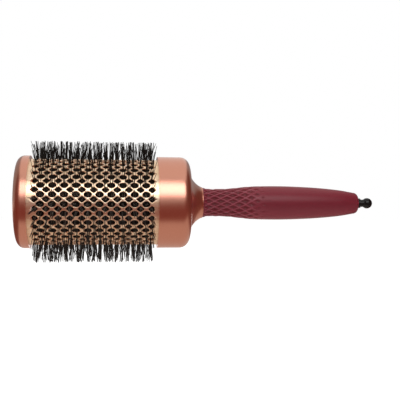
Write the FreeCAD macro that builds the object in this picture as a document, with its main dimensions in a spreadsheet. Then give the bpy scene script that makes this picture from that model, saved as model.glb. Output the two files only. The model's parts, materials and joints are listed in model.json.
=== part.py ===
import FreeCAD, Part
import math
import os

import Sketcher
from FreeCAD import Vector

# Round barrel brush, lying along +X: the end cap's flat face is the plane X = 0, the handle
# and its pick point to +X, and the axis of the whole brush is the X axis. Millimetres.

ROWS = 29           # rows of holes around the barrel, one flat of the wall to each row
OVAL_COLUMNS = 10   # columns of oval holes along the barrel
DIAMOND_COLUMNS = OVAL_COLUMNS + 1
HALF_ROW = 180.0 / ROWS
# the first row of ovals sits a little below the brush's side
BARREL_TURN = FreeCAD.Rotation(FreeCAD.Vector(1, 0, 0), 2.5)

size = {
    # end cap: a cup that closes the front of the barrel
    "cap_radius": 33.45, "cap_length": 9.2, "cap_round": 5.5, "cap_face_wall": 2.4,
    "boss_radius": 7.5, "boss_end": 9.5, "wire_hole": 2.2, "wire_hole_floor": 1.8,
    # sockets that both ends of the barrel are glued into
    "socket_outer": 31.3, "socket_inner": 30.0, "lip_inner": 28.4, "lip_end": 8.0,
    # perforated barrel
    "barrel_radius": 31.0, "barrel_wall": 0.8, "barrel_start": 3.0, "barrel_end": 106.0,
    "first_diamond": 14.6, "column_pitch": 8.05,
    "oval_length": 5.7, "oval_width": 4.1, "diamond_length": 5.6, "diamond_width": 4.5,
    "punch_reach": 1.5, "punch_depth": 4.0,
    # twisted stem, taken as the round rod that its strands fill
    "stem_radius": 2.0, "stem_start": 2.0, "stem_end": 160.0,
    # bristle rings: one for each column of holes
    "tip_radius": 43.6, "root_radius": 6.0, "ring_thickness": 1.6, "ring_bore": 2.0,
    # rear collar: cylinder, round shoulder, trumpet neck
    "collar_start": 100.15, "collar_radius": 33.5, "collar_back": 123.8, "shoulder_round": 7.0,
    "flare_start": 23.0, "flare_round": 18.0, "neck_end": 133.9, "neck_radius": 11.1,
    "groove_floor": 106.1, "lip_start": 102.0, "shell_end": 113.3, "web_face": 119.8,
    "web_radius": 22.0, "hub_radius": 8.0, "hub_start": 111.3, "spigot_floor": 125.0,
    "spigot_bore": 8.4,
    # handle: rigid core inside a moulded grip
    "spigot_start": 125.2, "spigot_radius": 8.3, "spigot_end": 139.0, "core_radius": 6.6,
    "core_end": 250.4, "wire_bore": 2.2, "wire_bore_end": 162.0, "pick_bore": 2.2,
    "pick_bore_start": 168.0,
    "grip_step": 139.1, "grip_bore": 6.65, "grip_spigot_bore": 8.35, "grip_wall_start": 250.5,
    "grip_end": 253.7, "grip_end_round": 3.0, "grip_end_radius": 5.0,
    "grip_start": 133.95, "grip_start_radius": 11.0, "waist_bend": 94.0,
    "waist_end": 153.0, "waist_end_radius": 10.4,
    "swell_start": 168.8, "swell_start_radius": 12.15, "swell_bend": 421.0,
    "swell_end": 208.5, "swell_end_radius": 12.2, "taper_bend": 391.0,
    "taper_end": 241.2, "taper_end_radius": 9.7,
    # sectioning pick: blunt shank, collar disc, waist and ball
    "pick_tip": 172.0, "pick_taper_end": 184.0, "pick_tip_radius": 0.8, "shank_radius": 1.9,
    "disc_start": 254.0, "disc_end": 256.2, "disc_radius": 3.7, "waist_radius": 2.8,
    "ball_centre": 262.0, "ball_radius": 4.0,
    "ball_flat_radius": 0.7,
}
# holes: each column's place along the barrel, ovals halfway between the diamonds
COLUMN_NAMES = []
for i in range(DIAMOND_COLUMNS):
    size["diamond_at_%02d" % i] = size["first_diamond"] + i * size["column_pitch"]
    COLUMN_NAMES.append("diamond_at_%02d" % i)
    if i < OVAL_COLUMNS:
        size["oval_at_%02d" % i] = size["first_diamond"] + (i + 0.5) * size["column_pitch"]
        COLUMN_NAMES.append("oval_at_%02d" % i)
for hole in ("oval", "diamond"):
    size[hole + "_half_length"] = size[hole + "_length"] / 2
    size[hole + "_half_width"] = size[hole + "_width"] / 2
size["oval_flat"] = size["oval_length"] / 4
size["ring_half"] = size["ring_thickness"] / 2
# the ball: where it leaves the waist, and the moulding pip that flattens its end


def ball_half_chord(radius):
    return math.sqrt(size["ball_radius"] ** 2 - radius ** 2)


size["ball_start"] = size["ball_centre"] - ball_half_chord(size["waist_radius"])
size["ball_end"] = size["ball_centre"] + ball_half_chord(size["ball_flat_radius"])

doc = FreeCAD.newDocument("round_barrel_brush")
sheet = doc.addObject("Spreadsheet::Sheet", "dims")
for row, (name, number) in enumerate(size.items(), start=1):
    sheet.set("A%d" % row, name)
    sheet.set("B%d" % row, "%g" % number)
    sheet.setAlias("B%d" % row, name)
doc.recompute()


def value(formula):
    """The number that a sum of dimension names comes to, such as 'cap_length + 0.5'."""
    total, sign = 0.0, 1.0
    for word in formula.split():
        if word in "+-":
            sign = 1.0 if word == "+" else -1.0
        else:
            total += sign * (size[word] if word in size else float(word))
    return total


def cell(formula):
    """The same sum, as an expression on the spreadsheet."""
    return " ".join("dims." + word if word in size else word for word in formula.split())


def new_body(label):
    body = doc.addObject("PartDesign::Body", label)
    body.Label = label
    doc.recompute()
    return body


def origin(body, role):
    return next(f for f in body.Origin.OriginFeatures if f.Role == role)


def sketch_on(body, role, name):
    sketch = body.newObject("Sketcher::SketchObject", body.Name + "_" + name)
    sketch.AttachmentSupport = [(origin(body, role), "")]
    sketch.MapMode = "FlatFace"
    return sketch


def pin(sketch, geo, end, along, out):
    """Hold one end of a line or arc at a distance along and out from the axis."""
    for kind, formula, axis in (("DistanceX", along, -2), ("DistanceY", out, -1)):
        number = value(formula)
        if number == 0:
            sketch.addConstraint(Sketcher.Constraint("PointOnObject", geo, end, axis))
        else:
            index = sketch.addConstraint(Sketcher.Constraint(kind, -1, 1, geo, end, number))
            sketch.setExpression("Constraints[%d]" % index, cell(formula))


def arc_between(p, q, radius, side):
    """The shorter arc from p to q; side +1 puts its centre left of the way p to q."""
    middle, chord = (p + q) * 0.5, q - p
    rise = math.sqrt(max(radius ** 2 - (chord.Length / 2) ** 2, 0.0))
    normal = Vector(-chord.y, chord.x, 0).normalize()
    centre = middle + normal * rise * side
    top = centre - normal * radius * side
    return Part.Arc(p, top, q)


def outline(sketch, corners):
    """A closed outline. A corner is (along, out) or (along, out, radius, side), and the
    longer form bends the stretch that leaves it."""
    places = [Vector(value(c[0]), value(c[1]), 0) for c in corners]
    ends = []
    for i, corner in enumerate(corners):
        p, q = places[i], places[(i + 1) % len(places)]
        if len(corner) == 2:
            geo = sketch.addGeometry(Part.LineSegment(p, q))
            ends.append((geo, 1, 2))
        else:
            geo = sketch.addGeometry(arc_between(p, q, value(corner[2]), corner[3]))
            turned = sketch.getPoint(geo, 1).distanceToPoint(p) > 1e-4
            ends.append((geo, 2, 1) if turned else (geo, 1, 2))
    for i, (geo, start, finish) in enumerate(ends):
        after = ends[(i + 1) % len(ends)]
        sketch.addConstraint(Sketcher.Constraint("Coincident", geo, finish, after[0], after[1]))
        pin(sketch, geo, start, corners[i][0], corners[i][1])
        if len(corners[i]) == 4:
            index = sketch.addConstraint(Sketcher.Constraint("Radius", geo, value(corners[i][2])))
            sketch.setExpression("Constraints[%d]" % index, cell(corners[i][2]))


def turned(body, corners, kind="PartDesign::Revolution", name="turned"):
    """Revolve an outline about the brush's axis, or cut it away as a groove."""
    sketch = sketch_on(body, "XZ_Plane", name + "_outline")
    outline(sketch, corners)
    doc.recompute()
    feature = body.newObject(kind, body.Name + "_" + name)
    feature.Profile = sketch
    feature.ReferenceAxis = (sketch, ["H_Axis"])
    feature.Angle = 360
    doc.recompute()
    return feature


def polygon(sketch, points):
    for p, q in zip(points, points[1:] + points[:1]):
        sketch.addGeometry(Part.LineSegment(Vector(p[0], p[1], 0), Vector(q[0], q[1], 0)))


def polar(radius, degrees):
    return radius * math.cos(math.radians(degrees)), radius * math.sin(math.radians(degrees))


# --- end cap: rounded cup with the barrel's groove, and a blind boss for the stem's nose
end_cap = new_body("end_cap")
turned(end_cap, [
    ("0", "0"), ("0", "cap_radius - cap_round", "cap_round", -1), ("cap_round", "cap_radius"),
    ("cap_length", "cap_radius"), ("cap_length", "socket_outer"),
    ("barrel_start", "socket_outer"), ("barrel_start", "socket_inner"),
    ("lip_end", "socket_inner"), ("lip_end", "lip_inner"), ("cap_face_wall", "lip_inner"),
    ("cap_face_wall", "boss_radius"), ("boss_end", "boss_radius"), ("boss_end", "wire_hole"),
    ("wire_hole_floor", "wire_hole"), ("wire_hole_floor", "0")])

# --- barrel: wall of flats, with a row of ovals in each flat and diamonds on each corner
def many_sided(inner_radius):
    corner = inner_radius / math.cos(math.radians(HALF_ROW))
    return [polar(corner, 180 + HALF_ROW * (2 * k + 1)) for k in range(ROWS)]


barrel = new_body("barrel_tube")
barrel.Placement = FreeCAD.Placement(Vector(0, 0, 0), BARREL_TURN)
section = sketch_on(barrel, "YZ_Plane", "section")
section.setExpression(".AttachmentOffset.Base.z", cell("barrel_start"))
polygon(section, many_sided(size["barrel_radius"]))
polygon(section, many_sided(size["barrel_radius"] - size["barrel_wall"]))
wall = barrel.newObject("PartDesign::Pad", "barrel_wall_pad")
wall.Profile = section
wall.setExpression("Length", cell("barrel_end - barrel_start"))
doc.recompute()


def punched(body, hole, columns, corners, tilt):
    """Punch one row of holes, then repeat it around the barrel. The corners are signed
    dimension names, measured from the middle of each hole."""
    row = sketch_on(body, "XZ_Plane", hole + "_row")
    lean = FreeCAD.Rotation(Vector(1, 0, 0), tilt)
    outside = size["barrel_radius"] + size["punch_reach"]
    row.AttachmentOffset = FreeCAD.Placement(lean.multVec(Vector(0, 0, outside)), lean)
    for column in range(columns):
        middle = "%s_at_%02d " % (hole, column)
        outline(row, [(middle + along, out) for along, out in corners])
    doc.recompute()
    before = body.Shape.Volume
    punch = body.newObject("PartDesign::Pocket", hole + "_punch")
    punch.Profile = row
    punch.Refine = False
    punch.setExpression("Length", cell("punch_depth"))
    doc.recompute()
    one_row = before - punch.Shape.Volume
    around = body.newObject("PartDesign::PolarPattern", hole + "_rows")
    around.Originals = [punch]
    around.Axis = (origin(body, "X_Axis"), [""])
    around.Angle = 360
    around.Occurrences = ROWS
    around.Refine = False
    body.Tip = around
    doc.recompute()
    all_rows = before - around.Shape.Volume
    if abs(all_rows - ROWS * one_row) > 0.01 * all_rows:
        raise RuntimeError("%s holes: not every row was punched" % hole)


punched(barrel, "oval", OVAL_COLUMNS, [
    ("+ oval_half_length", "0"), ("+ oval_flat", "oval_half_width"),
    ("- oval_flat", "oval_half_width"), ("- oval_half_length", "0"),
    ("- oval_flat", "- oval_half_width"), ("+ oval_flat", "- oval_half_width")], 0)
punched(barrel, "diamond", DIAMOND_COLUMNS, [
    ("+ diamond_half_length", "0"), ("+ 0", "diamond_half_width"),
    ("- diamond_half_length", "0"), ("+ 0", "- diamond_half_width")], HALF_ROW)

# --- rear collar: groove for the barrel, hub for the stem, trumpet neck over the handle
rear_collar = new_body("rear_collar")
turned(rear_collar, [
    ("collar_start", "socket_outer"), ("collar_start", "collar_radius"),
    ("collar_back - shoulder_round", "collar_radius", "shoulder_round", -1),
    ("collar_back", "collar_radius - shoulder_round"),
    ("collar_back", "flare_start", "flare_round", 1), ("neck_end", "neck_radius"),
    ("neck_end", "spigot_bore"), ("spigot_floor", "spigot_bore"), ("spigot_floor", "wire_hole"),
    ("hub_start", "wire_hole"), ("hub_start", "hub_radius"), ("web_face", "hub_radius"),
    ("web_face", "web_radius"), ("shell_end", "lip_inner"), ("lip_start", "lip_inner"),
    ("lip_start", "socket_inner"), ("groove_floor", "socket_inner"),
    ("groove_floor", "socket_outer")])

# --- stem: runs from the cap's boss, through every bristle ring, into the handle's core
stem = new_body("stem_wire")
turned(stem, [("stem_start", "0"), ("stem_start", "stem_radius - 0.6"),
              ("stem_start + 0.6", "stem_radius"), ("stem_end", "stem_radius"),
              ("stem_end", "0")])

# --- handle core: spigot in the collar's neck, bore for the stem, blind bore for the pick
core = new_body("handle_core")
turned(core, [
    ("spigot_start", "wire_bore"), ("spigot_start", "spigot_radius"),
    ("spigot_end", "spigot_radius"), ("spigot_end", "core_radius"),
    ("core_end", "core_radius"), ("core_end", "pick_bore"), ("pick_bore_start", "pick_bore"),
    ("pick_bore_start", "0"), ("wire_bore_end", "0"), ("wire_bore_end", "wire_bore")])

# --- handle grip: slim waist, swell for the palm, long taper to a rounded end; the cavity
# inside steps from the spigot to the core
grip = new_body("handle_grip")
turned(grip, [
    ("grip_start", "grip_spigot_bore"),
    ("grip_start", "grip_start_radius", "waist_bend", 1),
    ("waist_end", "waist_end_radius"), ("swell_start", "swell_start_radius", "swell_bend", -1),
    ("swell_end", "swell_end_radius", "taper_bend", -1), ("taper_end", "taper_end_radius"),
    ("grip_end - grip_end_round", "grip_end_radius + grip_end_round", "grip_end_round", -1),
    ("grip_end", "grip_end_radius"), ("grip_end", "pick_bore"),
    ("grip_wall_start", "pick_bore"), ("grip_wall_start", "grip_bore"),
    ("grip_step", "grip_bore"), ("grip_step", "grip_spigot_bore")])

# --- sectioning pick: pulls straight out of the handle by its ball
pick = new_body("sectioning_pick")
turned(pick, [
    ("pick_tip", "0"), ("pick_tip", "pick_tip_radius"), ("pick_taper_end", "shank_radius"),
    ("disc_start", "shank_radius"), ("disc_start", "disc_radius"), ("disc_end", "disc_radius"),
    ("disc_end", "waist_radius"), ("ball_start", "waist_radius", "ball_radius", -1),
    ("ball_end", "ball_flat_radius"), ("ball_end", "0")])


# --- bristle rings: one flat star of tufts to each column of holes, threaded on the stem
for number, column in enumerate(COLUMN_NAMES, start=1):
    ring = new_body("bristle_ring_%02d" % number)
    half_row = 0 if column.startswith("oval") else HALF_ROW
    turn = BARREL_TURN.multiply(FreeCAD.Rotation(Vector(1, 0, 0), half_row))
    ring.Placement = FreeCAD.Placement(Vector(0, 0, 0), turn)
    ring.setExpression(".Placement.Base.x", cell(column + " - ring_half"))
    star = sketch_on(ring, "YZ_Plane", "star")
    polygon(star, [
        polar(size["root_radius"] if k % 2 else size["tip_radius"], 180 + HALF_ROW * k)
        for k in range(2 * ROWS)])
    star.addGeometry(Part.Circle(Vector(0, 0, 0), Vector(0, 0, 1), size["ring_bore"]))
    tufts = ring.newObject("PartDesign::Pad", ring.Name + "_tufts")
    tufts.Profile = star
    tufts.setExpression("Length", cell("ring_thickness"))
doc.recompute()

# --- check every object, then write each piece
os.makedirs("parts", exist_ok=True)
for thing in doc.Objects:
    if {"Invalid", "Error"} & set(thing.State):
        raise RuntimeError("%s: %s" % (thing.Label, thing.State))
for body in doc.findObjects("PartDesign::Body"):
    shape = body.Shape
    if shape.isNull() or not shape.isValid() or len(shape.Solids) != 1:
        raise RuntimeError("%s is not one sound solid" % body.Label)
    shape.exportStep("parts/%s.step" % body.Label)
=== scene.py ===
import json
import math
import random

import bpy
from mathutils import Euler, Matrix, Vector

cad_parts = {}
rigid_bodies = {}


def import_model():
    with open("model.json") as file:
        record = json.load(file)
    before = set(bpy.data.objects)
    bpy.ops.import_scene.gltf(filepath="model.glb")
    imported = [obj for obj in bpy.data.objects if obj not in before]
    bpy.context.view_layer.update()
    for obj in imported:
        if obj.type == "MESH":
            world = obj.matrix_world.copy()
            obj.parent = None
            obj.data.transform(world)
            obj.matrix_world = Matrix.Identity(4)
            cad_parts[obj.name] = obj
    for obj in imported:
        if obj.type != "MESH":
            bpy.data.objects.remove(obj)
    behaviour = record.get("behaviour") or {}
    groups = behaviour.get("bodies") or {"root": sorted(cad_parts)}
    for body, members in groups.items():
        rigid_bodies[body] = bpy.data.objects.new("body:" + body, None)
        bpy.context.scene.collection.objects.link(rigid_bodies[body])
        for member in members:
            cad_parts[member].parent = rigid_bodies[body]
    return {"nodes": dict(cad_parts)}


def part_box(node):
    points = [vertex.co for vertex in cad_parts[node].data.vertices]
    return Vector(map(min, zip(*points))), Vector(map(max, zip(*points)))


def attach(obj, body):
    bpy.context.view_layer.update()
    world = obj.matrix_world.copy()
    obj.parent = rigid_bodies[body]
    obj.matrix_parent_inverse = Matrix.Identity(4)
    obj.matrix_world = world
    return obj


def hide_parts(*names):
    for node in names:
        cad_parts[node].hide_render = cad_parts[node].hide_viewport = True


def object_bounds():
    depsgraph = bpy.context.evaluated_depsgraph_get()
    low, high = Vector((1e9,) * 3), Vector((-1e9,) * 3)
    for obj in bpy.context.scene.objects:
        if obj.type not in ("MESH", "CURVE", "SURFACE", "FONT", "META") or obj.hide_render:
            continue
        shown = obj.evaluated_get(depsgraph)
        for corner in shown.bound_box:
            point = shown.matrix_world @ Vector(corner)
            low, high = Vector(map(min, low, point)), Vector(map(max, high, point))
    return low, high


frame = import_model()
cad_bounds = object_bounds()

# Round barrel brush on its side: axis along +X, end cap at X = 0, handle to +X. The camera
# looks from -Y. An angle around the brush is measured from that side, upwards.

MM = 0.001
BRUSH = "brush"
random.seed(29)

# ------------------------------------------------------------------ sizes taken from the CAD
ROWS = 29                                       # rows of holes around the barrel
OVAL_COLUMNS = 10
DIAMOND_COLUMNS = OVAL_COLUMNS + 1
ROW_ANGLE = 2 * math.pi / ROWS
FIRST_ROW = math.radians(-2.5)                  # the first row of ovals sits a little low

rings = sorted(name for name in frame["nodes"] if name.startswith("bristle_ring"))


def middle_x(node):
    low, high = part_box(node)
    return (low[0] + high[0]) / 2


FIRST_COLUMN = middle_x(rings[0])
COLUMN_PITCH = (middle_x(rings[-1]) - FIRST_COLUMN) / OVAL_COLUMNS
TIP_RADIUS = max(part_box(rings[0])[1][1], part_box(rings[1])[1][1])

barrel_low, barrel_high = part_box("barrel_tube")
ROUNDING = 0.1 * MM                             # the round tube, beyond the CAD's flats
BARREL_RADIUS = barrel_high[2] * math.cos(math.pi / ROWS) + ROUNDING
BARREL_WALL = 0.8 * MM
CELL_X = COLUMN_PITCH / 2                       # half-diagonals of the rhombus round each hole
CELL_ANGLE = ROW_ANGLE / 2


# ------------------------------------------------------------------ mesh helpers
def around(x, radius, angle):
    return (x, -radius * math.cos(angle), radius * math.sin(angle))


def piece(name, verts, faces, material, body=BRUSH, sharp=35):
    mesh = bpy.data.meshes.new(name)
    mesh.from_pydata(verts, [], faces)
    mesh.validate()
    mesh.shade_smooth()
    mesh.set_sharp_from_angle(angle=math.radians(sharp))
    mesh.materials.append(material)
    obj = bpy.data.objects.new(name, mesh)
    bpy.context.collection.objects.link(obj)
    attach(obj, body)
    return obj


class Weld:
    """Collects faces whose corners are shared where they meet."""

    def __init__(self):
        self.verts, self.faces, self.index = [], [], {}

    def corner(self, point):
        key = tuple(round(c * 1e7) for c in point)
        if key not in self.index:
            self.index[key] = len(self.verts)
            self.verts.append(point)
        return self.index[key]

    def face(self, points):
        corners = []
        for point in points:
            corner = self.corner(point)
            if corner not in corners:
                corners.append(corner)
        if len(corners) > 2:
            self.faces.append(corners)


def turned_mesh(profile, steps=96):
    """Faces of an outline of (x, radius) turned about the axis."""
    mesh = Weld()
    for (x0, r0), (x1, r1) in zip(profile, profile[1:]):
        for k in range(steps):
            a, b = (2 * math.pi * j / steps for j in (k, k + 1))
            mesh.face([around(x0, r0, a), around(x1, r1, a), around(x1, r1, b), around(x0, r0, b)])
    return mesh


# ------------------------------------------------------------------ materials
def new_material(name, color, roughness, metallic=0.0, **sockets):
    """A Principled material; keywords are further sockets, with _ for a space."""
    material = bpy.data.materials.new(name)
    material.use_nodes = True
    shader = material.node_tree.nodes["Principled BSDF"]
    shader.inputs["Base Color"].default_value = (*color, 1)
    shader.inputs["Roughness"].default_value = roughness
    shader.inputs["Metallic"].default_value = metallic
    for socket, number in sockets.items():
        shader.inputs[socket.replace("_", " ")].default_value = number
    return material


NOISE_OFFSET = (0.0137, 0.0071, 0.0053)         # keeps the noise's cells off the plane X = 0


def noise_node(material, scale, detail=3.0, stretch=(1, 1, 1)):
    nodes, links = material.node_tree.nodes, material.node_tree.links
    place = nodes.new("ShaderNodeTexCoord")
    mapping = nodes.new("ShaderNodeMapping")
    mapping.inputs["Scale"].default_value = stretch
    mapping.inputs["Location"].default_value = NOISE_OFFSET
    links.new(place.outputs["Object"], mapping.inputs["Vector"])
    noise = nodes.new("ShaderNodeTexNoise")
    noise.inputs["Scale"].default_value = scale
    noise.inputs["Detail"].default_value = detail
    links.new(mapping.outputs["Vector"], noise.inputs["Vector"])
    return noise.outputs["Fac"]


def vary_color(material, factor, dark, light, low=0.35, high=0.65):
    nodes, links = material.node_tree.nodes, material.node_tree.links
    ramp = nodes.new("ShaderNodeValToRGB")
    ramp.color_ramp.elements[0].position, ramp.color_ramp.elements[1].position = low, high
    ramp.color_ramp.elements[0].color = (*dark, 1)
    ramp.color_ramp.elements[1].color = (*light, 1)
    links.new(factor, ramp.inputs["Fac"])
    links.new(ramp.outputs["Color"], nodes["Principled BSDF"].inputs["Base Color"])


def vary_roughness(material, factor, smooth, rough):
    nodes, links = material.node_tree.nodes, material.node_tree.links
    spread = nodes.new("ShaderNodeMapRange")
    spread.inputs["To Min"].default_value, spread.inputs["To Max"].default_value = smooth, rough
    links.new(factor, spread.inputs["Value"])
    links.new(spread.outputs["Result"], nodes["Principled BSDF"].inputs["Roughness"])


def bump(material, factor, strength, depth):
    nodes, links = material.node_tree.nodes, material.node_tree.links
    relief = nodes.new("ShaderNodeBump")
    relief.inputs["Strength"].default_value = strength
    relief.inputs["Distance"].default_value = depth
    links.new(factor, relief.inputs["Height"])
    links.new(relief.outputs["Normal"], nodes["Principled BSDF"].inputs["Normal"])


# metallic copper paint on moulded plastic: fine flake, faint orange peel
copper = new_material("copper_paint", (0.74, 0.34, 0.24), 0.30, metallic=1.0, Coat_Weight=0.60,
                      Coat_Roughness=0.22)
flake = noise_node(copper, 5200, 1.0)
vary_color(copper, flake, (0.70, 0.305, 0.21), (0.79, 0.375, 0.27))
vary_roughness(copper, noise_node(copper, 60, 3.0), 0.27, 0.35)
bump(copper, noise_node(copper, 900, 2.0), 0.04, 0.05 * MM)

# pale gold ceramic coat on aluminium, drawn lengthwise
gold = new_material("barrel_coat", (0.93, 0.70, 0.49), 0.36, metallic=0.95)
vary_color(gold, noise_node(gold, 700, 4.0, (0.08, 1, 1)),
           (0.88, 0.63, 0.41), (0.97, 0.77, 0.57))
vary_roughness(gold, noise_node(gold, 90, 3.0), 0.29, 0.37)
bump(gold, noise_node(gold, 1600, 2.0, (0.1, 1, 1)), 0.08, 0.03 * MM)

# black nylon filament, each one slightly different
nylon = new_material("bristle_nylon", (0.010, 0.009, 0.008), 0.5, Specular_IOR_Level=0.14)
vary_color(nylon, noise_node(nylon, 300, 2.0), (0.006, 0.005, 0.004), (0.015, 0.013, 0.011))
vary_roughness(nylon, noise_node(nylon, 900, 2.0), 0.45, 0.60)

# soft-touch burgundy moulding with a very fine grain
burgundy = new_material("grip_burgundy", (0.104, 0.0038, 0.0110), 0.38, Specular_IOR_Level=0.33,
                        Sheen_Weight=0.02, Sheen_Roughness=0.4)
vary_color(burgundy, noise_node(burgundy, 900, 3.0),
           (0.098, 0.0034, 0.0102), (0.110, 0.0042, 0.0118))
vary_roughness(burgundy, noise_node(burgundy, 700, 3.0), 0.35, 0.42)
bump(burgundy, noise_node(burgundy, 4200, 2.0), 0.12, 0.03 * MM)


def paint_relief_shade_and_highlight(material, pit, ridge):
    """Painted shade and painted highlight: deepen the colour in the moulded pits, where shade
    falls, and lighten it along the ridges between them, where light catches.
    """
    nodes, links = material.node_tree.nodes, material.node_tree.links
    base = nodes["Principled BSDF"].inputs["Base Color"]
    painted = base.links[0].from_socket
    relief = nodes.new("ShaderNodeAttribute")
    relief.attribute_name = "relief"
    ramp = nodes.new("ShaderNodeValToRGB")
    ramp.color_ramp.elements[0].color = (*pit, 1)
    ramp.color_ramp.elements[1].color = (*ridge, 1)
    plain = ramp.color_ramp.elements.new(0.5)
    plain.color = (1, 1, 1, 1)
    mix = nodes.new("ShaderNodeMix")
    mix.data_type, mix.blend_type = "RGBA", "MULTIPLY"
    mix.inputs["Factor"].default_value = 1
    links.new(relief.outputs["Fac"], ramp.inputs["Fac"])
    links.new(ramp.outputs["Color"], mix.inputs["B"])
    links.new(painted, mix.inputs["A"])
    links.new(mix.outputs["Result"], base)


# painted shade in the grip's pits and painted highlight along its ridges
paint_relief_shade_and_highlight(burgundy, (0.72, 0.40, 0.45), (1.8, 8.0, 4.2))

pick_black = new_material("pick_black", (0.005, 0.005, 0.005), 0.2, Specular_IOR_Level=0.25)
vary_roughness(pick_black, noise_node(pick_black, 400, 3.0), 0.14, 0.26)
vary_color(pick_black, noise_node(pick_black, 150, 2.0),
           (0.004, 0.004, 0.004), (0.007, 0.007, 0.007))

steel = new_material("stem_steel", (0.55, 0.55, 0.53), 0.30, metallic=1.0)
vary_roughness(steel, noise_node(steel, 900, 3.0, (0.05, 1, 1)), 0.22, 0.42)

core_plastic = new_material("core_plastic", (0.10, 0.03, 0.04), 0.5)
vary_roughness(core_plastic, noise_node(core_plastic, 500, 3.0), 0.42, 0.58)

for node, material in (("end_cap", copper), ("rear_collar", copper), ("stem_wire", steel),
                       ("handle_core", core_plastic), ("sectioning_pick", pick_black)):
    for slot in frame["nodes"][node].material_slots:
        slot.material = material


# ------------------------------------------------------------------ perforated barrel
HOLE_POINTS = 24                                # corners round each hole, a multiple of 4
EDGE = 0.16 * MM                                # rounding of each hole's lip
LIP_MIDDLE = 0.3                                # the lip's middle loop, as a part of EDGE
OVAL_HOLE = 2.8 * MM, 2.2 * MM, 2.0             # half-length, half-width, squareness
DIAMOND_HOLE = 2.8 * MM, 2.25 * MM, 1.22


def signed_power(number, power):
    return math.copysign(abs(number) ** power, number)


def hole_outline(half_x, half_across, squareness):
    """Superellipse round a hole: 2 is an oval, near 1 a diamond with soft corners."""
    points = []
    for k in range(HOLE_POINTS):
        turn = 2 * math.pi * k / HOLE_POINTS
        points.append((half_x * signed_power(math.cos(turn), 2 / squareness),
                       half_across * signed_power(math.sin(turn), 2 / squareness)))
    return points


def cell_outline():
    """The rhombus that belongs to each hole; the rhombi tile the whole barrel."""
    corners = [(CELL_X, 0), (0, CELL_ANGLE), (-CELL_X, 0), (0, -CELL_ANGLE)]
    points = []
    for k in range(HOLE_POINTS):
        side, part = divmod(4 * k / HOLE_POINTS, 1)
        (x0, a0), (x1, a1) = corners[int(side)], corners[(int(side) + 1) % 4]
        points.append((x0 + (x1 - x0) * part, a0 + (a1 - a0) * part))
    return points


def barrel_mesh():
    mesh = Weld()
    inner = BARREL_RADIUS - BARREL_WALL
    cell = cell_outline()
    oval, diamond = hole_outline(*OVAL_HOLE), hole_outline(*DIAMOND_HOLE)

    def shells(outline):
        """Loops from the cell's outer edge, over the lip, through the hole, to the inside."""
        def loop(grow, radius):
            points = []
            for x, across in outline:
                far = math.hypot(x, across)
                points.append((x * (1 + grow / far), across * (1 + grow / far) / BARREL_RADIUS,
                               radius))
            return points
        edge = [(x, a, BARREL_RADIUS) for x, a in cell]
        back = [(x, a, inner) for x, a in cell]
        lip = LIP_MIDDLE * EDGE
        return [edge, loop(EDGE, BARREL_RADIUS), loop(lip, BARREL_RADIUS - lip),
                loop(0, BARREL_RADIUS - EDGE), loop(0, inner), back]

    def hole(x, angle, loops):
        for first, second in zip(loops, loops[1:]):
            for k in range(HOLE_POINTS):
                j = (k + 1) % HOLE_POINTS
                mesh.face([around(x + dx, r, angle + da)
                           for dx, da, r in (first[k], first[j], second[j], second[k])])

    ovals, diamonds = shells(oval), shells(diamond)
    for row in range(ROWS):
        for column in range(DIAMOND_COLUMNS):
            x = FIRST_COLUMN + column * COLUMN_PITCH
            hole(x, FIRST_ROW + (row + 0.5) * ROW_ANGLE, diamonds)
            if column < OVAL_COLUMNS:
                hole(x + CELL_X, FIRST_ROW + row * ROW_ANGLE, ovals)

    # plain bands, from the outermost cells' edges to both ends of the tube
    last_column = FIRST_COLUMN + (DIAMOND_COLUMNS - 1) * COLUMN_PITCH
    quarter = HOLE_POINTS // 4
    steps = [k / quarter - 1 for k in range(2 * quarter + 1)]
    for end, column, way in ((barrel_low[0], FIRST_COLUMN, -1), (barrel_high[0], last_column, 1)):
        for row in range(ROWS):
            angle = FIRST_ROW + (row + 0.5) * ROW_ANGLE
            for s, t in zip(steps, steps[1:]):
                edges = [(column + way * CELL_X * (1 - abs(u)), angle + u * CELL_ANGLE)
                         for u in (s, t)]
                for radius in (BARREL_RADIUS, inner):
                    (x0, a0), (x1, a1) = edges
                    mesh.face([around(x0, radius, a0), around(end, radius, a0),
                               around(end, radius, a1), around(x1, radius, a1)])
                mesh.face([around(end, BARREL_RADIUS, a0), around(end, inner, a0),
                           around(end, inner, a1), around(end, BARREL_RADIUS, a1)])
    return mesh


tube = barrel_mesh()
barrel = piece("barrel_perforated", tube.verts, tube.faces, gold, sharp=50)
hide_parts("barrel_tube")


# ------------------------------------------------------------------ bristles
FILAMENT = 0.215 * MM                           # radius of one filament
THIN_TIP = 0.85                                 # a tip's radius, as a part of FILAMENT
FILAMENTS = (3, 6)                              # how many pass through one hole
ROOT_RADIUS = 5 * MM
ROOT_MASS = (24.5 * MM, 27 * MM)                # rim of the disc that stands for the roots
ROOT_SPREAD = 0.3                               # the roots' spread along, against the hole's
HOLE_REACH = 1.5 * MM, 1.1 * MM                 # a filament's furthest from a hole's middle
WAVES, WAVE_SPREAD = 3, 1.1 * MM                # slow waves of lean round each ring
LEAN_ALONG, LEAN_ACROSS = 0.8 * MM, 0.5 * MM    # each clump's own lean
TIP_SPREAD = 0.4 * MM                           # each filament's own lean
STRAY = 5.0                                     # how much further a stray leans
STRAY_CHANCE, EDGE_STRAY_CHANCE = 0.03, 0.12    # in most rings, and in the outermost
TIP_BEYOND, TIP_UNEVEN = 0.7 * MM, 0.35 * MM    # longest tip past the CAD's, and the spread
BEND = 1.2                                      # how late the lean sets in


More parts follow.
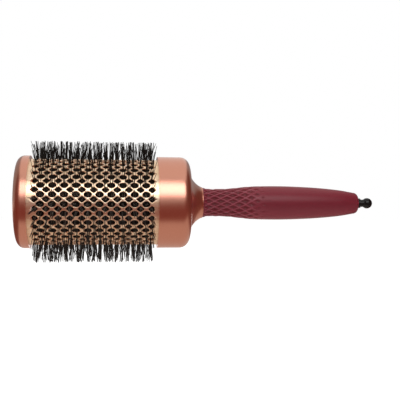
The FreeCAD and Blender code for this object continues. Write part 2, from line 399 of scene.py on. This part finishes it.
def filament(verts, faces, points, radii):
    """A three-sided strand through the points."""
    first = len(verts)
    way = (Vector(points[-1]) - Vector(points[0])).normalized()
    side = way.cross(Vector((1, 0, 0))).normalized()
    other = way.cross(side)
    for point, radius in zip(points, radii):
        for k in range(3):
            turn = 2 * math.pi * k / 3
            verts.append(Vector(point) + (side * math.cos(turn) + other * math.sin(turn)) * radius)
    for ring in range(len(points) - 1):
        for k in range(3):
            a, b = first + 3 * ring + k, first + 3 * ring + (k + 1) % 3
            faces.append((a, b, b + 3, a + 3))
    faces.append((first + 2, first + 1, first))
    top = first + 3 * (len(points) - 1)
    faces.append((top, top + 1, top + 2))


def root_mass(verts, faces, x, first_angle):
    """The crowded roots of one ring: a ribbed disc that no light passes."""
    first, count = len(verts), 4 * ROWS
    for side in (-CELL_X / 2, CELL_X / 2):
        for k in range(count):
            radius = ROOT_MASS[k % 2] + random.uniform(-1, 1) * MM
            verts.append(around(x + side, radius, first_angle + k * ROW_ANGLE / 4))
    for k in range(count):
        j = (k + 1) % count
        faces.append((first + k, first + j, first + count + j, first + count + k))
    faces.append(tuple(first + k for k in reversed(range(count))))
    faces.append(tuple(first + count + k for k in range(count)))


def bristle_ring(x, first_angle, splay):
    """One ring of clumps. Its clumps lean together in slow waves round the barrel, so the
    fringe opens into tufts and gaps. The outermost rings splay outwards, -1 or 1."""
    verts, faces = [], []
    root_mass(verts, faces, x, first_angle)
    sway, phase = random.gauss(0, WAVE_SPREAD), random.uniform(0, 2 * math.pi)
    for row in range(ROWS):
        angle = first_angle + row * ROW_ANGLE
        lean_x = sway * math.sin(WAVES * angle + phase) + random.gauss(splay * MM, LEAN_ALONG)
        lean_a = random.gauss(0, LEAN_ACROSS)
        for _ in range(random.randint(*FILAMENTS)):
            # where it crosses the wall, inside the hole
            far, turn = math.sqrt(random.random()), random.uniform(0, 2 * math.pi)
            dx, da = HOLE_REACH[0] * far * math.cos(turn), HOLE_REACH[1] * far * math.sin(turn)
            chance = EDGE_STRAY_CHANCE if splay else STRAY_CHANCE
            stray = STRAY if random.random() < chance else 1.0
            tip_x = dx + lean_x + random.gauss(0, TIP_SPREAD) * stray
            tip_a = da + lean_a + random.gauss(0, TIP_SPREAD) * stray
            tip_r = TIP_RADIUS + TIP_BEYOND - abs(random.gauss(0, TIP_UNEVEN))
            route = []
            for part, radius in ((0, ROOT_RADIUS), (1, BARREL_RADIUS - BARREL_WALL / 2),
                                 (1.5, (BARREL_RADIUS + tip_r) / 2), (2, tip_r)):
                if part <= 1:
                    across, along = da * part, dx * (ROOT_SPREAD + (1 - ROOT_SPREAD) * part)
                else:
                    bend = (part - 1) ** BEND
                    across = da + (tip_a - da) * bend
                    along = dx + (tip_x - dx) * bend
                route.append(around(x + along, radius, angle + across / radius))
            filament(verts, faces, route, (FILAMENT, FILAMENT, FILAMENT, THIN_TIP * FILAMENT))
    return verts, faces


for number, node in enumerate(rings):
    start = FIRST_ROW + (ROW_ANGLE / 2 if number % 2 == 0 else 0)
    splay = {0: -1, len(rings) - 1: 1}.get(number, 0)
    verts, faces = bristle_ring(middle_x(node), start, splay)
    tufts = piece(node.replace("bristle_ring", "bristles"), verts, faces, nylon, sharp=180)
    tufts.visible_glossy = False                # the gold webs would mirror them too darkly
    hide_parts(node)


# ------------------------------------------------------------------ handle grip
grip_low, grip_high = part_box("handle_grip")
GRIP_LENGTH = grip_high[0] - grip_low[0]
EASE = 4 * MM                                   # half the length over which its outline blends
END_ROUND = 3.0 * MM
BORE_RADIUS, BORE_SHOWN = 2.2 * MM, 3 * MM      # the pick's bore, and how deep the skin goes
LATTICE_PITCH = 9.1 * MM                        # diamonds along the waist
LATTICE_AROUND = 15
LATTICE_START, LATTICE_FADE, LATTICE_END = (grip_low[0] + d * MM for d in (0.8, 25.0, 50.0))
FIRST_DIAMOND = grip_low[0] + 3.65 * MM, math.radians(6)
LATTICE_DEPTH = 1.0 * MM
DISH_SIZE, FADED_SIZE = 0.90, 0.35              # a dish's size in its cell, and after fading
RIDGE_FROM = 0.78                               # where the ridge between two dishes begins


def cad_outline(node, least):
    """The outer outline of a turned CAD node, as sorted (x, radius) pairs."""
    widest = {}
    for vertex in bpy.data.objects[node].data.vertices:
        x, radius = vertex.co.x, math.hypot(vertex.co.y, vertex.co.z)
        if radius > least:
            key = round(x, 5)
            widest[key] = max(widest.get(key, 0), radius)
    return sorted(widest.items())


grip_outline = cad_outline("handle_grip", 8.0 * MM)


def follow(outline, x):
    if x <= outline[0][0]:
        return outline[0][1]
    for (x0, r0), (x1, r1) in zip(outline, outline[1:]):
        if x <= x1:
            return r0 + (r1 - r0) * (x - x0) / (x1 - x0)
    return outline[-1][1]


def grip_radius(x):
    """The outline, eased over a few millimetres so that its stretches blend."""
    span = min(EASE, x - grip_low[0], grip_high[0] - EASE - x)
    if span <= 0:
        return follow(grip_outline, x)
    return sum(follow(grip_outline, x + span * k / 4) for k in range(-4, 5)) / 9


def smooth_step(low, high, number):
    part = min(max((number - low) / (high - low), 0), 1)
    return part * part * (3 - 2 * part)


def lattice(x, angle):
    """How deep the diamond pattern's dish is here and how much ridge, both up to 1. It fades
    towards the palm."""
    along = (x - FIRST_DIAMOND[0]) / LATTICE_PITCH
    about = (angle - FIRST_DIAMOND[1]) * LATTICE_AROUND / (2 * math.pi)
    nearest = math.inf
    for shift in (0.0, 0.5):
        du = (along - shift) - round(along - shift)
        dv = (about - shift) - round(about - shift)
        nearest = min(nearest, 2 * abs(du) + 2 * abs(dv))
    fade = 1 - smooth_step(LATTICE_FADE, LATTICE_END, x)
    start = smooth_step(LATTICE_START - 1.0 * MM, LATTICE_START + 1.0 * MM, x)
    size = DISH_SIZE * (FADED_SIZE + (1 - FADED_SIZE) * fade)
    sunk = max(size - nearest, 0) / size
    return (start * fade ** 0.5 * (1 - (1 - sunk) ** 2),
            start * fade * smooth_step(RIDGE_FROM, 1.0, nearest))


def grip_mesh(along_steps=300, around_steps=288, round_steps=12):
    """The grip's outer skin with the mouth of the bore, open at both ends, and its relief: 0 in
    a pit, 1 on a ridge."""
    verts, faces = [], []
    stations = [grip_low[0] + (GRIP_LENGTH - END_ROUND) * k / along_steps
                for k in range(along_steps + 1)]
    profile = [(x, grip_radius(x)) for x in stations]
    corner_r = profile[-1][1] - END_ROUND
    for k in range(1, round_steps + 1):
        turn = math.pi / 2 * k / round_steps
        profile.append((grip_high[0] - END_ROUND + END_ROUND * math.sin(turn),
                        corner_r + END_ROUND * math.cos(turn)))
    profile.append((grip_high[0], BORE_RADIUS))
    profile.append((grip_high[0] - BORE_SHOWN, BORE_RADIUS))
    relief = []
    for x, radius in profile:
        for k in range(around_steps):
            angle = 2 * math.pi * k / around_steps
            dish, ridge = lattice(x, angle)
            relief.append(0.5 - 0.5 * dish + 0.5 * ridge)
            verts.append(around(x, radius - LATTICE_DEPTH * dish, angle))
    for i in range(len(profile) - 1):
        for k in range(around_steps):
            j = (k + 1) % around_steps
            faces.append((i * around_steps + k, i * around_steps + j,
                          (i + 1) * around_steps + j, (i + 1) * around_steps + k))
    return verts, faces, relief


verts, faces, relief = grip_mesh()
grip = piece("grip_moulding", verts, faces, burgundy, sharp=60)
# the relief attribute drives the grip's painted pit shade and painted ridge highlight
grip.data.attributes.new("relief", "FLOAT", "POINT").data.foreach_set("value", relief)
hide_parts("handle_grip")


# ------------------------------------------------------------------ stem and neck rim
stem_low, stem_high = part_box("stem_wire")
STRAND = (stem_high[2] - stem_low[2]) / 4       # radius of each of the two twisted wires
STRAND_FIT = 0.98                               # keeps the two wires just apart
TWIST_PITCH = 14 * MM


def twisted_stem(sides=10, steps_per_turn=20):
    verts, faces = [], []
    length = stem_high[0] - stem_low[0] - 2 * STRAND
    steps = round(length / TWIST_PITCH * steps_per_turn)
    for strand in (0, math.pi):
        first = len(verts)
        for i in range(steps + 1):
            turn = strand + 2 * math.pi * i / steps_per_turn
            middle = Vector(around(stem_low[0] + STRAND + length * i / steps, STRAND, turn))
            outward = Vector((0, middle.y, middle.z)).normalized()
            slope = 2 * math.pi * STRAND / TWIST_PITCH
            way = (Vector((1, 0, 0)) + outward.cross(Vector((1, 0, 0))) * -slope).normalized()
            across = way.cross(outward)
            for k in range(sides):
                a = 2 * math.pi * k / sides
                offset = outward * math.cos(a) + across * math.sin(a)
                verts.append(middle + offset * STRAND * STRAND_FIT)
        for i in range(steps):
            for k in range(sides):
                j = (k + 1) % sides
                a, b = first + i * sides, first + (i + 1) * sides
                faces.append((a + k, a + j, b + j, b + k))
        faces.append(tuple(first + k for k in reversed(range(sides))))
        faces.append(tuple(first + steps * sides + k for k in range(sides)))
    return verts, faces


verts, faces = twisted_stem()
stem = piece("stem_twisted_wire", verts, faces, steel, sharp=50)
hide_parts("stem_wire")

# thin bead that ends the collar's neck, sunk into it
neck_x, neck_r = cad_outline("rear_collar", 9.5 * MM)[-1]
BEAD = 0.45 * MM
bead_profile = [(neck_x - BEAD + BEAD * math.cos(math.radians(a)),
                 neck_r + BEAD * math.sin(math.radians(a))) for a in range(0, 181, 15)]
bead_profile.insert(0, (neck_x, neck_r - BEAD))
bead = turned_mesh(bead_profile)
rim = piece("neck_bead", bead.verts, bead.faces, copper, sharp=60)


# ------------------------------------------------------------------ stage, lights and camera
def stage_sheet(name, corners, color, glow, tint=(1, 1, 1)):
    mesh = bpy.data.meshes.new(name)
    mesh.from_pydata(corners, [], [(0, 1, 2, 3)])
    obj = bpy.data.objects.new(name, mesh)
    bpy.context.collection.objects.link(obj)
    paint = new_material(name + "_paint", color, 0.9)
    shader = paint.node_tree.nodes["Principled BSDF"]
    shader.inputs["Emission Color"].default_value = (*tint, 1)
    shader.inputs["Emission Strength"].default_value = glow
    mesh.materials.append(paint)
    return obj


FLOOR_DROP, FLOOR_HALF = 0.09, 4                # metres below the brush, and to each side
FLOOR_Z = cad_bounds[0][2] - FLOOR_DROP
CARD_TOP = 1.2
stage_sheet("floor", [(-FLOOR_HALF, -FLOOR_HALF, FLOOR_Z), (FLOOR_HALF, -FLOOR_HALF, FLOOR_Z),
                      (FLOOR_HALF, FLOOR_HALF, FLOOR_Z), (-FLOOR_HALF, FLOOR_HALF, FLOOR_Z)],
            (0.9, 0.9, 0.9), 0.74)


def reflection_only(card):
    card.visible_camera = card.visible_diffuse = card.visible_shadow = False


def reflected_card(name, near_y, far_y, z, glow, tint, low_x=-1.5, high_x=1.8):
    """A level card that only shows in reflections."""
    reflection_only(stage_sheet(name, [(low_x, near_y, z), (high_x, near_y, z), (high_x, far_y, z),
                                       (low_x, far_y, z)], (0, 0, 0), glow, tint))


def side_card(name, x, far_y, glow, tint):
    """An upright card beyond one end of the brush, also only reflected."""
    reflection_only(stage_sheet(name, [(x, -3.0, FLOOR_Z), (x, far_y, FLOOR_Z),
                                       (x, far_y, CARD_TOP), (x, -3.0, CARD_TOP)],
                                (0, 0, 0), glow, tint))


# Six cards. In front and below, a dark red one draws the line along the brush's side, a warm
# one calms its belly, and a low one lies beneath both. A pale one overhead fills its back. The
# two upright ones darken what its ends mirror.
reflected_card("dark_card", -3.0, -0.13, FLOOR_Z + 12 * MM, 1.0, (0.17, 0.020, 0.010))
reflected_card("warm_card", -2.0, 1.0, FLOOR_Z + 6 * MM, 1.0, (0.54, 0.43, 0.37), -0.06, 0.33)
reflected_card("low_card", -3.0, 1.0, FLOOR_Z + 4 * MM, 1.0, (0.17, 0.05, 0.035))
reflected_card("pale_card", -0.32, 3.0, 0.60, 0.80, (1.0, 0.95, 0.90), -0.25, 0.6)
side_card("cap_side_card", -0.40, -0.08, 1.0, (0.15, 0.035, 0.025))
side_card("handle_side_card", 0.70, 0.3, 1.0, (0.13, 0.03, 0.02))

# white to look at, dimmer as a light
world = bpy.data.worlds.new("studio")
bpy.context.scene.world = world
world.use_nodes = True
nodes, links = world.node_tree.nodes, world.node_tree.links
background = nodes["Background"]
background.inputs["Color"].default_value = (1, 1, 1, 1)
path = nodes.new("ShaderNodeLightPath")
level = nodes.new("ShaderNodeMapRange")
level.inputs["To Min"].default_value, level.inputs["To Max"].default_value = 0.32, 1.0
links.new(path.outputs["Is Camera Ray"], level.inputs["Value"])
links.new(level.outputs["Result"], background.inputs["Strength"])


def softbox(name, place, target, wide, high, power, reflects=True):
    light = bpy.data.lights.new(name, "AREA")
    light.shape, light.size, light.size_y, light.energy = "RECTANGLE", wide, high, power
    obj = bpy.data.objects.new(name, light)
    obj.location = place
    obj.rotation_euler = (Vector(target) - Vector(place)).to_track_quat("-Z", "Y").to_euler()
    obj.visible_glossy = reflects
    bpy.context.collection.objects.link(obj)


MIDDLE = Vector((0.1325, 0, 0))
softbox("key", MIDDLE + Vector((0.07, -0.72, 0.47)), MIDDLE + Vector((0.07, 0, 0)),
        0.84, 0.50, 4.0)
softbox("overhead", MIDDLE + Vector((0, 0.05, 0.80)), MIDDLE, 1.2, 0.6, 10.5, reflects=False)

AZIMUTH, ROLL = math.radians(-7.3), math.radians(0.28)
DISTANCE = 0.51
AIM = MIDDLE + Vector((0, 0, 1.9 * MM))
camera_data = bpy.data.cameras.new("camera")
camera_data.lens, camera_data.sensor_width = 61.5, 36
camera = bpy.data.objects.new("camera", camera_data)
camera.location = AIM + Vector((math.sin(AZIMUTH), -math.cos(AZIMUTH), 0)) * DISTANCE
look = (AIM - camera.location).to_track_quat("-Z", "Y").to_matrix()
camera.rotation_euler = (look @ Euler((0, 0, ROLL)).to_matrix()).to_euler()
bpy.context.collection.objects.link(camera)
bpy.context.scene.camera = camera
bpy.context.scene.view_settings.view_transform = "Standard"
